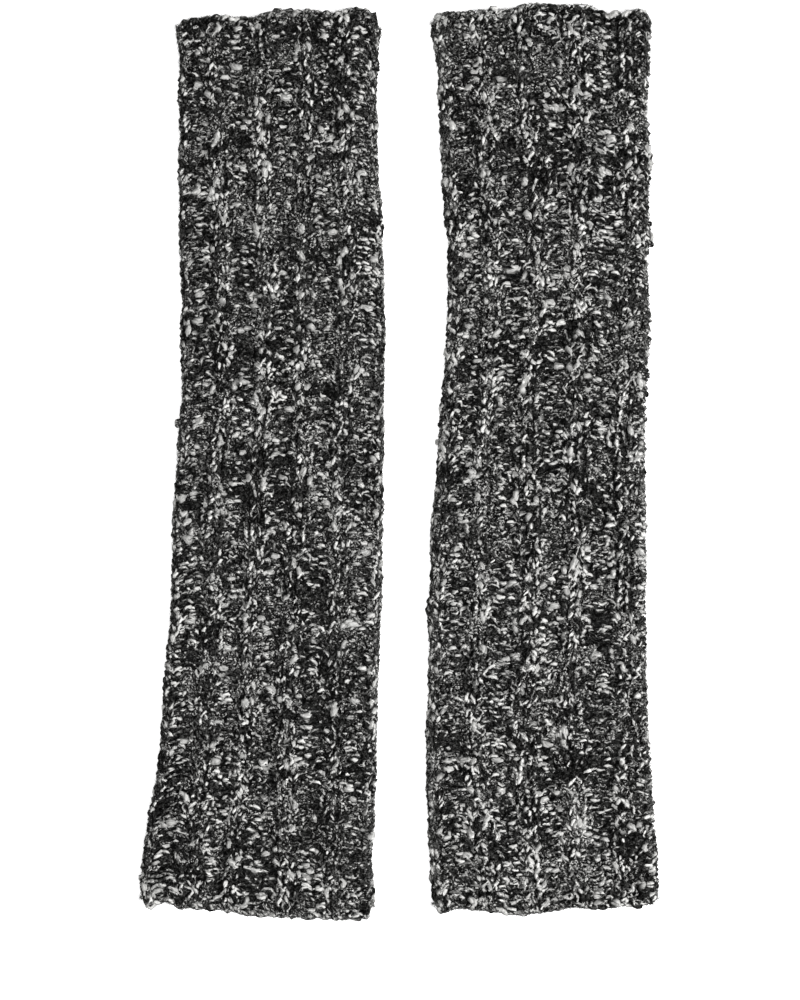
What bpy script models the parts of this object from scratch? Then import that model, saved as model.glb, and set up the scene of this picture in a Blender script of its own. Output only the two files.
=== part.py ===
"""Pair of chunky rib-knit arm warmers, laid flat side by side with both ends open.

Each warmer is one knitted tube: a thick wall folded flat over a narrow hollow, with wide
ribs raised along its upper side and round its folds. The pair rests on its flat undersides
at z = 0, lengths along Y, and the origin lies under the middle of the pair.
"""

import math
from dataclasses import astuple, dataclass

import bmesh
import bpy

MM = 0.001

WALL = 2.8  # knitted cloth between two ribs
RIB_RISE = 1.4  # how far a rib stands above the cloth beside it
HOLLOW = 0.9  # left between the two layers of a warmer that lies flat
MOUTH_HOLLOW = 1.7  # the same at the open ends, where the layers part a little
FOLD_HOLLOW = 2.2  # the same inside a fold, which doesn't close sharply
THICKNESS = WALL + HOLLOW + WALL + RIB_RISE
FOLD_REACH = THICKNESS / 2  # how far a fold's rounding reaches in from the outline
FOLD_WALL = 3.2  # cloth at the outermost point of a fold
SHOULDER = 3.4  # where a fold's rounding meets the flat upper side
RIM_SOFTENING = 0.7  # how much an open edge rounds off
MOUTH_LENGTH = 16.0  # how far the parting of the layers reaches into a warmer
STEPS_PER_RIB = 6
UNDERSIDE_STEPS = 9
HOLLOW_STEPS = 10
KNIT_COLOUR = (0.035, 0.035, 0.034, 1.0)


@dataclass(frozen=True)
class Outline:
    """Where the two folds of a warmer lie at one place along it, in millimetres."""

    along: float
    left: float
    right: float


@dataclass(frozen=True)
class RibPath:
    """Middles of the ribs on the upper side, as shares of the width from the left fold."""

    along: float
    first: float
    second: float
    third: float
    fourth: float


@dataclass(frozen=True)
class Edge:
    """How far an open edge reaches along Y at a share of the width, in millimetres."""

    share: float
    reach: float


@dataclass(frozen=True)
class Warmer:
    """One arm warmer: its outline, the run of its ribs and its two open edges."""

    name: str
    outline: tuple
    ribs: tuple
    fold_rib: float  # share at which the rib on the left fold has its middle
    far_rib: float  # the same for the rib on or behind the right fold
    first_step: int
    last_step: int
    near_edge: tuple
    far_edge: tuple


LEFT_WARMER = Warmer(
    name="left_warmer_tube",
    outline=(
        Outline(along=-217.5, left=-130.0, right=-13.4),
        Outline(along=-199.0, left=-128.6, right=-13.9),
        Outline(along=-176.5, left=-125.6, right=-12.3),
        Outline(along=-149.0, left=-121.2, right=-11.2),
        Outline(along=-119.0, left=-118.3, right=-10.6),
        Outline(along=-89.0, left=-115.5, right=-9.8),
        Outline(along=-64.0, left=-113.9, right=-9.3),
        Outline(along=-34.0, left=-113.3, right=-9.5),
        Outline(along=-4.0, left=-111.8, right=-8.0),
        Outline(along=21.0, left=-110.1, right=-7.9),
        Outline(along=46.0, left=-108.8, right=-8.0),
        Outline(along=81.0, left=-108.4, right=-7.6),
        Outline(along=113.5, left=-110.0, right=-9.3),
        Outline(along=146.5, left=-110.2, right=-11.4),
        Outline(along=181.0, left=-109.9, right=-12.3),
        Outline(along=203.5, left=-110.3, right=-11.8),
        Outline(along=217.0, left=-112.0, right=-10.0),
    ),
    ribs=(
        RibPath(along=-216.0, first=0.214, second=0.386, third=0.620, fourth=0.830),
        RibPath(along=-189.0, first=0.212, second=0.388, third=0.600, fourth=0.815),
        RibPath(along=-135.0, first=0.196, second=0.390, third=0.565, fourth=0.800),
        RibPath(along=-81.0, first=0.202, second=0.384, third=0.570, fourth=0.782),
        RibPath(along=-27.0, first=0.194, second=0.380, third=0.588, fourth=0.797),
        RibPath(along=27.0, first=0.204, second=0.402, third=0.588, fourth=0.795),
        RibPath(along=81.0, first=0.196, second=0.415, third=0.605, fourth=0.815),
        RibPath(along=135.0, first=0.190, second=0.416, third=0.612, fourth=0.838),
        RibPath(along=189.0, first=0.180, second=0.412, third=0.640, fourth=0.828),
        RibPath(along=217.0, first=0.184, second=0.408, third=0.635, fourth=0.825),
    ),
    fold_rib=0.0,
    far_rib=1.0,
    first_step=2,
    last_step=28,
    near_edge=(
        Edge(share=0.00, reach=-218.0),
        Edge(share=0.035, reach=-222.0),
        Edge(share=0.10, reach=-220.2),
        Edge(share=0.18, reach=-222.4),
        Edge(share=0.38, reach=-224.4),
        Edge(share=0.51, reach=-227.2),
        Edge(share=0.63, reach=-227.4),
        Edge(share=0.84, reach=-228.4),
        Edge(share=0.97, reach=-228.7),
        Edge(share=1.00, reach=-222.0),
    ),
    far_edge=(
        Edge(share=0.00, reach=217.6),
        Edge(share=0.05, reach=220.8),
        Edge(share=0.19, reach=222.6),
        Edge(share=0.34, reach=221.9),
        Edge(share=0.53, reach=225.2),
        Edge(share=0.67, reach=225.4),
        Edge(share=0.745, reach=224.3),
        Edge(share=0.88, reach=227.3),
        Edge(share=0.965, reach=225.8),
        Edge(share=1.00, reach=219.5),
    ),
)

RIGHT_WARMER = Warmer(
    name="right_warmer_tube",
    outline=(
        Outline(along=-219.0, left=16.5, right=130.0),
        Outline(along=-205.5, left=15.5, right=129.6),
        Outline(along=-184.0, left=14.3, right=128.0),
        Outline(along=-159.0, left=13.5, right=126.5),
        Outline(along=-136.5, left=13.2, right=124.8),
        Outline(along=-114.0, left=14.5, right=123.8),
        Outline(along=-74.0, left=14.0, right=123.0),
        Outline(along=-44.0, left=15.3, right=123.5),
        Outline(along=-14.0, left=18.0, right=123.0),
        Outline(along=16.0, left=20.0, right=122.8),
        Outline(along=46.0, left=22.5, right=124.0),
        Outline(along=81.0, left=24.0, right=124.8),
        Outline(along=103.0, left=24.5, right=123.5),
        Outline(along=128.5, left=22.3, right=124.8),
        Outline(along=151.0, left=21.0, right=126.0),
        Outline(along=176.0, left=20.0, right=124.2),
        Outline(along=201.0, left=18.5, right=125.4),
        Outline(along=218.0, left=15.5, right=126.0),
    ),
    ribs=(
        RibPath(along=-216.0, first=0.240, second=0.437, third=0.635, fourth=0.855),
        RibPath(along=-189.0, first=0.225, second=0.440, third=0.650, fourth=0.860),
        RibPath(along=-135.0, first=0.208, second=0.432, third=0.628, fourth=0.890),
        RibPath(along=-81.0, first=0.220, second=0.448, third=0.645, fourth=0.900),
        RibPath(along=-27.0, first=0.220, second=0.452, third=0.664, fourth=0.902),
        RibPath(along=27.0, first=0.212, second=0.416, third=0.664, fourth=0.888),
        RibPath(along=81.0, first=0.205, second=0.426, third=0.652, fourth=0.885),
        RibPath(along=135.0, first=0.198, second=0.436, third=0.650, fourth=0.900),
        RibPath(along=189.0, first=0.210, second=0.410, third=0.645, fourth=0.884),
        RibPath(along=217.0, first=0.214, second=0.410, third=0.645, fourth=0.880),
    ),
    fold_rib=0.02,
    far_rib=1.10,
    first_step=1,
    last_step=25,
    near_edge=(
        Edge(share=0.00, reach=-221.0),
        Edge(share=0.035, reach=-225.6),
        Edge(share=0.09, reach=-223.4),
        Edge(share=0.27, reach=-224.8),
        Edge(share=0.35, reach=-226.3),
        Edge(share=0.54, reach=-224.2),
        Edge(share=0.63, reach=-222.6),
        Edge(share=0.71, reach=-223.3),
        Edge(share=0.89, reach=-221.4),
        Edge(share=0.975, reach=-221.2),
        Edge(share=1.00, reach=-218.5),
    ),
    far_edge=(
        Edge(share=0.00, reach=219.5),
        Edge(share=0.03, reach=223.2),
        Edge(share=0.19, reach=225.2),
        Edge(share=0.36, reach=226.5),
        Edge(share=0.46, reach=228.8),
        Edge(share=0.60, reach=228.2),
        Edge(share=0.70, reach=228.4),
        Edge(share=0.80, reach=224.2),
        Edge(share=0.85, reach=224.0),
        Edge(share=0.94, reach=226.2),
        Edge(share=0.98, reach=224.4),
        Edge(share=1.00, reach=219.5),
    ),
)


def read_row(rows, at):
    """Row of a table at a place in its first column, eased smoothly between its rows."""
    table = [astuple(row) for row in rows]
    if at <= table[0][0]:
        return table[0]
    if at >= table[-1][0]:
        return table[-1]
    upper = next(i for i, row in enumerate(table) if row[0] > at)
    lower = upper - 1
    span = table[upper][0] - table[lower][0]
    t = (at - table[lower][0]) / span
    values = [at]
    for column in range(1, len(table[0])):
        start = table[lower][column]
        end = table[upper][column]
        start_slope = slope_at(table, lower, column) * span
        end_slope = slope_at(table, upper, column) * span
        cubic = 2 * start - 2 * end + start_slope + end_slope
        square = 3 * end - 3 * start - 2 * start_slope - end_slope
        values.append(start + t * (start_slope + t * (square + t * cubic)))
    return tuple(values)


def slope_at(table, row, column):
    """Slope of a table's column at one row, level at each peak, dip and end."""
    if row == 0 or row == len(table) - 1:
        return 0.0
    before = table[row][column] - table[row - 1][column]
    after = table[row + 1][column] - table[row][column]
    if before * after <= 0.0:
        return 0.0
    before /= table[row][0] - table[row - 1][0]
    after /= table[row + 1][0] - table[row][0]
    return 2.0 * before * after / (before + after)


def rib_middles(warmer, along):
    """Shares of the width at which all six ribs from fold to fold have their middles."""
    crossing = read_row(warmer.ribs, along)[1:]
    return (warmer.fold_rib, *crossing, warmer.far_rib)


def share_of_step(middles, step):
    """Share of the width at a step counted from the rib on the left fold."""
    rib = min(step // STEPS_PER_RIB, len(middles) - 2)
    part = step / STEPS_PER_RIB - rib
    return middles[rib] + part * (middles[rib + 1] - middles[rib])


def rib_height(middles, share):
    """Height of the ribs above the cloth between them at a share of the width."""
    rib = 0
    while rib < len(middles) - 2 and share > middles[rib + 1]:
        rib += 1
    turn = (share - middles[rib]) / (middles[rib + 1] - middles[rib])
    away = abs(turn - round(turn))
    crest = 0.5 + 0.5 * math.cos(2.0 * math.pi * away)
    return RIB_RISE * math.sin(0.5 * math.pi * crest) ** 1.3


def place(warmer, share, station):
    """X and Y of a point at a share of the width and a station from 0 to 1 along."""
    near = read_row(warmer.near_edge, share)[1]
    far = read_row(warmer.far_edge, share)[1]
    along = near + station * (far - near)
    fold = read_row(warmer.outline, along)
    return fold[1] + share * (fold[2] - fold[1]), along


def width_at(warmer, station):
    """Width of a warmer at a station, between the outermost points of its folds."""
    left = place(warmer, 0.0, station)[0]
    right = place(warmer, 1.0, station)[0]
    return right - left


def end_share(warmer, station):
    """1 at the open edges, easing to 0 where a warmer's layers lie close together."""
    span = warmer.far_edge[4].reach - warmer.near_edge[4].reach
    from_end = min(station, 1.0 - station) * span
    rest = max(0.0, 1.0 - from_end / MOUTH_LENGTH)
    return rest * rest * (3.0 - 2.0 * rest)


def outer_section(warmer, station, softening):
    """Closed loop of points round the outside of a warmer at one station."""
    width = width_at(warmer, station)
    middles = rib_middles(warmer, place(warmer, 0.5, station)[1])
    lift = 0.5 * (MOUTH_HOLLOW - HOLLOW) * end_share(warmer, station)
    top = THICKNESS + lift - softening
    corner = FOLD_REACH * (1.0 - math.sqrt(0.5))
    shoulder = SHOULDER / width
    steps = range(warmer.first_step, warmer.last_step + 1)
    across = [share_of_step(middles, step) for step in steps]
    upper = [shoulder, *across, 1.0 - shoulder]
    loop = []
    loop.append((0.0, 0.0, FOLD_REACH))
    loop.append((corner / width, 0.0, top - corner - 0.7 * drop(middles, 0.0)))
    for share in upper:
        loop.append((share, 0.0, top - drop(middles, share)))
    loop.append((1.0 - corner / width, 0.0, top - corner - 0.7 * drop(middles, 1.0)))
    loop.append((1.0, 0.0, FOLD_REACH))
    loop.append((1.0 - corner / width, 0.0, corner))
    flat = FOLD_REACH / width
    for step in range(UNDERSIDE_STEPS + 1):
        share = 1.0 - flat - step / UNDERSIDE_STEPS * (1.0 - 2.0 * flat)
        loop.append((share, 0.0, 0.0))
    loop.append((corner / width, 0.0, corner))
    points = []
    for share, _, height in loop:
        x, y = place(warmer, share, station)
        points.append((x * MM, y * MM, height * MM))
    return points


def drop(middles, share):
    """How far the upper side lies below the crest of a rib at a share of the width."""
    return RIB_RISE - rib_height(middles, share)


def inner_section(warmer, station, softening):
    """Closed loop of points round the plain hollow of a warmer at one station."""
    width = width_at(warmer, station)
    open_share = end_share(warmer, station)
    gap = HOLLOW + (MOUTH_HOLLOW - HOLLOW) * open_share
    middle = WALL + 0.5 * HOLLOW + 0.25 * (gap - HOLLOW)
    inset = (FOLD_WALL - softening) / width
    depths = [0.0, 1.3, 4.0]
    shares = [inset + depth / width for depth in depths]
    first = shares[-1]
    for step in range(1, HOLLOW_STEPS):
        shares.append(first + step / HOLLOW_STEPS * (1.0 - 2.0 * first))
    shares.extend(1.0 - inset - depth / width for depth in reversed(depths))
    upper = []
    lower = []
    for share in shares:
        depth = (min(share, 1.0 - share) - inset) * width
        swell = (FOLD_HOLLOW - gap) * math.exp(-((depth / 8.0) ** 2))
        half = 0.5 * (gap + max(swell, 0.0))
        half *= math.sqrt(min(1.0, 0.02 + depth / 1.6))
        x, y = place(warmer, share, station)
        upper.append((x * MM, y * MM, (middle + half) * MM))
        lower.append((x * MM, y * MM, (middle - half) * MM))
    return upper + list(reversed(lower))


def stations():
    """Stations along a warmer, closer together at its open ends."""
    ends = [0.0, 0.0035, 0.014, 0.034]
    middle_steps = 19
    middle = []
    for step in range(middle_steps):
        middle.append(0.07 + 0.86 * step / (middle_steps - 1))
    return ends + middle + [1.0 - end for end in reversed(ends)]


def add_loop(mesh, points):
    """Adds a closed loop of edges through the points and returns its edges."""
    corners = [mesh.verts.new(point) for point in points]
    edges = []
    for index, corner in enumerate(corners):
        following = corners[(index + 1) % len(corners)]
        edges.append(mesh.edges.new((corner, following)))
    return edges


def build_warmer(warmer, collection, knit):
    """Bridges a warmer's sections into one closed tube wall and names it."""
    mesh = bmesh.new()
    places = stations()
    outside = []
    inside = []
    for station in places:
        softening = RIM_SOFTENING if station in (places[0], places[-1]) else 0.0
        outside.append(add_loop(mesh, outer_section(warmer, station, softening)))
        inside.append(add_loop(mesh, inner_section(warmer, station, softening)))
    for loops in (outside, inside):
        for lower, upper in zip(loops, loops[1:]):
            bmesh.ops.bridge_loops(mesh, edges=lower + upper)
    bmesh.ops.bridge_loops(mesh, edges=outside[0] + inside[0])
    bmesh.ops.bridge_loops(mesh, edges=outside[-1] + inside[-1])
    bmesh.ops.recalc_face_normals(mesh, faces=mesh.faces[:])
    data = bpy.data.meshes.new(warmer.name)
    mesh.to_mesh(data)
    mesh.free()
    data.materials.append(knit)
    tube = bpy.data.objects.new(warmer.name, data)
    collection.objects.link(tube)
    data.shade_smooth()
    data.set_sharp_from_angle(angle=math.radians(60.0))
    return tube


def make_knit():
    """Charcoal marl yarn, dull and soft."""
    knit = bpy.data.materials.new("charcoal_marl_knit")
    knit.use_nodes = True
    shader = knit.node_tree.nodes["Principled BSDF"]
    shader.inputs["Base Color"].default_value = KNIT_COLOUR
    shader.inputs["Roughness"].default_value = 0.92
    return knit


def main():
    """Clears the file and builds the pair."""
    for old in list(bpy.data.objects):
        bpy.data.objects.remove(old)
    pair = bpy.data.collections.new("arm_warmers")
    bpy.context.scene.collection.children.link(pair)
    knit = make_knit()
    build_warmer(LEFT_WARMER, pair, knit)
    build_warmer(RIGHT_WARMER, pair, knit)


main()
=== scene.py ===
"""Looks of a pair of chunky rib-knit arm warmers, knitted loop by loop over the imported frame.

Every length is in millimetres until a mesh is made, unless a name says otherwise. The ribs of each
warmer run as in its solid. Its outline and its open edges keep within 3 mm of the solid's.
"""

import logging
import math
from dataclasses import dataclass, field
from enum import Enum
from typing import Any, Iterable, Optional, Sequence, Union

import bpy
import numpy as np
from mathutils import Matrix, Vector

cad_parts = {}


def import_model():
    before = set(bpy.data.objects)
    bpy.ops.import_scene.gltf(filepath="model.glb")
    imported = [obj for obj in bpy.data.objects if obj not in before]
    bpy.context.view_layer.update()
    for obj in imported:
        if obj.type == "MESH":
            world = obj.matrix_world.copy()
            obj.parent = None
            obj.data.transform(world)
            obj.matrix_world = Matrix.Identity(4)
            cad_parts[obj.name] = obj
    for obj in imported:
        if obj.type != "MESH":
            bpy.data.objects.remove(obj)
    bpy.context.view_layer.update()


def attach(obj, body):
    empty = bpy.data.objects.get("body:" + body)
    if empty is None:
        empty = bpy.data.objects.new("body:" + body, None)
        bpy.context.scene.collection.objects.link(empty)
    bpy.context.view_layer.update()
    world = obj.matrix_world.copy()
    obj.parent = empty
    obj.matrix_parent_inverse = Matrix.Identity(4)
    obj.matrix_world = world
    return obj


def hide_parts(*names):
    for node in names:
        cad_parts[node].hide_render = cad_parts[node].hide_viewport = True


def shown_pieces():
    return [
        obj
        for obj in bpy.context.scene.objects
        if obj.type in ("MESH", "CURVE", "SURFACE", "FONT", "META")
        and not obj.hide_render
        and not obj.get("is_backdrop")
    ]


LOG = logging.getLogger("arm_warmers")
MM = 0.001
TAU = 2.0 * math.pi

RIBS_ROUND = 10
WALES_PER_RIB = 4
WALES_ROUND = RIBS_ROUND * WALES_PER_RIB
COURSES = 156

WARMER_LENGTH = 450.0
LOWEST_YARN = 0.02

Array = np.ndarray
Number = Union[int, float]


# ---------------------------------------------------------------------------------------------
# Form of a warmer
# ---------------------------------------------------------------------------------------------


@dataclass(frozen=True)
class Outline:
    """Where the two folds of a warmer lie at one place along it."""

    along: float
    left: float
    right: float


@dataclass(frozen=True)
class RibPath:
    """Middles of the ribs on the upper side, as shares of the width from the left fold."""

    along: float
    first: float
    second: float
    third: float
    fourth: float


@dataclass(frozen=True)
class Edge:
    """How far an open edge reaches along Y at a share of the width."""

    share: float
    reach: float


class Side(Enum):
    """The two layers of a warmer that lies flat."""

    UPPER = 1
    UNDER = -1


@dataclass(frozen=True)
class Hollow:
    """One soft trough, or with a negative depth a soft ridge, laid on the cloth."""

    side: Side
    share: float
    along: float
    length: float
    width: float
    depth: float
    lean: float = 0.0


@dataclass(frozen=True)
class Nub:
    """One small knot of wool on a fold.

    The fold is 0 on the left and 1 on the right. Out is how far the middle of the knot lies
    outside the fold, and pale is the share of light wool in it.
    """

    fold: float
    along: float
    radius: float
    out: float
    pale: float


@dataclass(frozen=True)
class Tint:
    """A soft patch where more black wool shows, or with a negative amount more light wool.

    It lies at x and y, and fades over a width along X and a length along Y.
    """

    x: float
    y: float
    width: float
    length: float
    amount: float


@dataclass(frozen=True)
class Cut:
    """What sets one warmer apart: its outline, ribs, edges and the way its cloth lies.

    The first rib and the sixth lie at the shares of the width that fold_rib and far_rib give.
    The rib phase at the right fold is right_fold.
    """

    name: str
    node: str
    seed: int
    outline: tuple[Outline, ...]
    ribs: tuple[RibPath, ...]
    fold_rib: float
    far_rib: float
    right_fold: float
    near_edge: tuple[Edge, ...]
    far_edge: tuple[Edge, ...]
    hollows: tuple[Hollow, ...]
    nubs: tuple[Nub, ...]
    tints: tuple[Tint, ...]

    @property
    def rib_on_right_fold(self) -> bool:
        """Whether the crest of a rib runs along the right fold."""
        return self.far_rib == 1.0


def table(kind: type, *rows: tuple[Any, ...]) -> tuple[Any, ...]:
    """Makes the rows of a table.

    Args:
        kind: Dataclass of a row.
        *rows: Values of each row, in the order of the dataclass's fields.

    Returns:
        One object for each row.
    """
    return tuple(kind(*row) for row in rows)


LEFT_CUT = Cut(
    name="left_warmer",
    node="left_warmer_tube",
    seed=11,
    outline=table(
        Outline,
        (-217.5, -130.0, -13.4), (-199.0, -128.6, -14.4), (-176.5, -125.4, -13.5),
        (-149.0, -120.2, -12.4), (-119.0, -118.2, -11.6), (-89.0, -115.5, -10.6),
        (-64.0, -113.9, -9.6), (-34.0, -113.3, -9.9), (-4.0, -111.8, -9.0), (21.0, -110.1, -8.7),
        (31.0, -109.0, -8.5), (46.0, -108.8, -8.3), (81.0, -108.4, -8.4), (113.5, -110.0, -9.3),
        (146.5, -110.2, -11.4), (181.0, -109.9, -12.3), (203.5, -110.3, -11.8),
        (217.0, -112.0, -10.0),
    ),
    ribs=table(
        RibPath,
        (-216.0, 0.214, 0.386, 0.620, 0.830), (-189.0, 0.212, 0.388, 0.600, 0.815),
        (-135.0, 0.196, 0.390, 0.565, 0.800), (-81.0, 0.202, 0.384, 0.570, 0.782),
        (-27.0, 0.194, 0.380, 0.588, 0.797), (27.0, 0.204, 0.402, 0.588, 0.795),
        (81.0, 0.196, 0.415, 0.605, 0.815), (135.0, 0.190, 0.416, 0.612, 0.838),
        (189.0, 0.180, 0.412, 0.640, 0.828), (217.0, 0.184, 0.408, 0.635, 0.825),
    ),
    fold_rib=0.0,
    far_rib=1.0,
    right_fold=5.0,
    near_edge=table(
        Edge,
        (0.00, -218.0), (0.035, -222.0), (0.10, -220.2), (0.18, -222.4), (0.38, -224.4),
        (0.51, -227.2), (0.63, -227.4), (0.84, -228.4), (0.97, -228.7), (1.00, -222.0),
    ),
    far_edge=table(
        Edge,
        (0.00, 217.6), (0.05, 220.8), (0.19, 222.6), (0.34, 221.9), (0.53, 225.2), (0.67, 225.4),
        (0.745, 224.3), (0.88, 226.6), (0.965, 223.8), (1.00, 216.5),
    ),
    hollows=table(
        Hollow,
        (Side.UPPER, 0.30, 170.0, 60.0, 5.0, 0.5), (Side.UPPER, 0.52, 105.0, 70.0, 4.5, 0.6, 0.05),
        (Side.UPPER, 0.71, 30.0, 80.0, 5.0, 0.5), (Side.UPPER, 0.10, -20.0, 50.0, 6.0, 0.5, 0.06),
        (Side.UPPER, 0.49, -70.0, 60.0, 4.5, 0.6),
        (Side.UPPER, 0.30, -150.0, 55.0, 5.0, 0.5, -0.1),
        (Side.UPPER, 0.90, -130.0, 70.0, 5.0, 0.5), (Side.UPPER, 0.60, 190.0, 30.0, 12.0, -0.3),
        (Side.UNDER, 0.30, 110.0, 90.0, 7.0, 0.5), (Side.UNDER, 0.66, -40.0, 80.0, 6.0, 0.5, 0.06),
        (Side.UNDER, 0.45, -160.0, 50.0, 8.0, 0.4),
    ),
    nubs=table(
        Nub,
        (0.0, 19.5, 2.5, 0.5, 0.4), (1.0, 197.5, 1.8, 0.3, 0.1), (1.0, -41.0, 1.5, 0.1, 0.8),
        (0.0, -102.0, 1.5, 0.0, 0.5),
    ),
    tints=table(
        Tint,
        # The first tint darkens the whole left warmer a little.
        (-62.0, 0.0, 400.0, 1200.0, 0.05), (-105.0, 201.0, 6.0, 25.0, 0.30),
        (-68.0, 218.0, 42.0, 8.0, 0.30), (-68.0, 183.0, 12.0, 11.0, 0.22),
        (-32.0, 178.0, 10.0, 20.0, 0.18), (-45.0, 111.0, 7.0, 35.0, 0.25),
        (-105.0, 56.0, 6.0, 28.0, 0.28), (-54.0, -19.0, 7.0, 70.0, 0.25),
        (-22.0, -104.0, 12.0, 14.0, 0.22), (-110.0, -156.0, 8.0, 16.0, 0.30),
        (-35.0, -184.0, 12.0, 24.0, 0.25), (-97.0, -199.0, 15.0, 8.0, 0.20),
        (-47.0, 183.0, 5.0, 10.0, -0.20), (-71.0, 105.0, 12.0, 9.0, -0.20),
        (-16.0, 91.0, 5.0, 28.0, -0.40), (-65.0, 23.0, 4.0, 20.0, -0.22),
        (-21.0, -24.0, 7.0, 25.0, -0.25), (-97.0, -64.0, 10.0, 8.0, -0.20),
        (-72.0, -89.0, 6.0, 22.0, -0.22), (-47.0, -141.0, 8.0, 8.0, -0.25),
        (-76.0, -159.0, 6.0, 15.0, -0.28), (-115.0, -216.0, 14.0, 5.0, -0.30),
    ),
)

RIGHT_CUT = Cut(
    name="right_warmer",
    node="right_warmer_tube",
    seed=29,
    outline=table(
        Outline,
        (-219.0, 16.5, 130.0), (-205.5, 15.5, 129.6), (-184.0, 14.3, 128.0), (-159.0, 13.5, 126.5),
        (-136.5, 13.2, 124.8), (-114.0, 14.7, 123.8), (-100.0, 15.1, 123.5), (-74.0, 14.3, 123.0),
        (-56.0, 15.9, 123.3), (-44.0, 15.5, 123.5), (-14.0, 18.0, 123.0), (16.0, 20.0, 122.8),
        (46.0, 22.5, 124.0), (73.0, 23.8, 125.7), (88.0, 24.2, 124.3), (103.0, 24.5, 123.6),
        (111.0, 24.1, 126.3), (119.5, 23.2, 125.3), (128.5, 22.3, 124.8), (151.0, 21.0, 126.0),
        (176.0, 20.0, 124.2), (201.0, 18.5, 125.4), (218.0, 15.5, 126.0),
    ),
    ribs=table(
        RibPath,
        (-216.0, 0.240, 0.437, 0.635, 0.855), (-189.0, 0.225, 0.440, 0.650, 0.860),
        (-135.0, 0.208, 0.432, 0.628, 0.890), (-81.0, 0.220, 0.448, 0.645, 0.900),
        (-27.0, 0.220, 0.452, 0.664, 0.902), (27.0, 0.212, 0.416, 0.664, 0.888),
        (81.0, 0.205, 0.426, 0.652, 0.885), (135.0, 0.198, 0.436, 0.650, 0.900),
        (189.0, 0.210, 0.410, 0.645, 0.884), (217.0, 0.214, 0.410, 0.645, 0.880),
    ),
    fold_rib=0.02,
    far_rib=1.10,
    right_fold=4.53,
    near_edge=table(
        Edge,
        (0.00, -221.0), (0.035, -225.6), (0.09, -223.4), (0.27, -224.8), (0.35, -226.3),
        (0.54, -224.2), (0.63, -222.6), (0.71, -223.3), (0.89, -221.4), (0.975, -221.2),
        (1.00, -218.5),
    ),
    far_edge=table(
        Edge,
        (0.00, 219.5), (0.03, 223.2), (0.19, 225.2), (0.36, 226.5), (0.46, 228.8), (0.60, 228.2),
        (0.70, 228.4), (0.80, 224.2), (0.85, 224.0), (0.94, 226.2), (0.98, 224.4), (1.00, 219.5),
    ),
    hollows=table(
        Hollow,
        (Side.UPPER, 0.97, 22.0, 80.0, 3.0, 0.9), (Side.UPPER, 0.51, 33.0, 30.0, 3.0, 0.9),
        (Side.UPPER, 0.77, 120.0, 60.0, 4.5, 0.6), (Side.UPPER, 0.32, 150.0, 60.0, 5.0, 0.5, 0.05),
        (Side.UPPER, 0.11, 60.0, 50.0, 5.0, 0.5), (Side.UPPER, 0.33, -60.0, 60.0, 4.5, 0.6, -0.05),
        (Side.UPPER, 0.55, -130.0, 60.0, 4.5, 0.5),
        (Side.UPPER, 0.78, -175.0, 50.0, 5.0, 0.6, 0.1),
        (Side.UPPER, 0.50, 205.0, 22.0, 14.0, -0.3), (Side.UNDER, 0.35, -90.0, 90.0, 7.0, 0.5),
        (Side.UNDER, 0.62, 70.0, 80.0, 6.0, 0.5, -0.06), (Side.UNDER, 0.50, 170.0, 50.0, 8.0, 0.4),
    ),
    nubs=table(
        Nub,
        (0.0, 10.0, 1.7, 0.4, 0.7), (1.0, 119.5, 1.4, -0.2, 0.0), (1.0, 113.0, 2.2, -1.0, 1.0),
        (1.0, 109.0, 1.5, 0.0, 0.2), (1.0, 43.5, 1.7, 0.0, 0.0), (1.0, 34.0, 1.6, -0.1, 0.0),
        (1.0, 21.5, 1.4, 0.0, 0.0),
    ),
    tints=table(
        Tint,
        # The first tint lightens the whole right warmer a little.
        (70.0, 0.0, 400.0, 1200.0, -0.05), (27.0, 176.0, 8.0, 35.0, 0.38),
        (57.0, 216.0, 9.0, 14.0, 0.25), (77.0, 171.0, 8.0, 10.0, 0.28),
        (110.0, 148.0, 10.0, 12.0, 0.22), (27.0, 86.0, 5.0, 48.0, 0.18),
        (70.0, 53.0, 22.0, 8.0, 0.20), (25.0, -9.0, 7.0, 8.0, 0.22),
        (110.0, -54.0, 7.0, 18.0, 0.22), (20.0, -139.0, 7.0, 15.0, 0.28),
        (90.0, -151.0, 16.0, 8.0, 0.28), (112.0, -184.0, 12.0, 10.0, 0.42),
        (25.0, -199.0, 5.0, 15.0, 0.20), (100.0, 111.0, 12.0, 12.0, -0.20),
        (102.0, 38.0, 10.0, 6.0, -0.32), (121.0, -9.0, 4.0, 45.0, -0.32),
        (50.0, -1.0, 25.0, 6.0, -0.22), (52.0, -56.0, 18.0, 12.0, -0.24),
        (72.0, -99.0, 9.0, 10.0, -0.24), (42.0, -125.0, 9.0, 9.0, -0.38),
        (112.0, -121.0, 8.0, 8.0, -0.26), (67.0, -201.0, 8.0, 12.0, -0.32),
        (90.0, -184.0, 8.0, 8.0, -0.26), (75.0, -219.0, 50.0, 5.0, -0.30),
    ),
)


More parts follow.
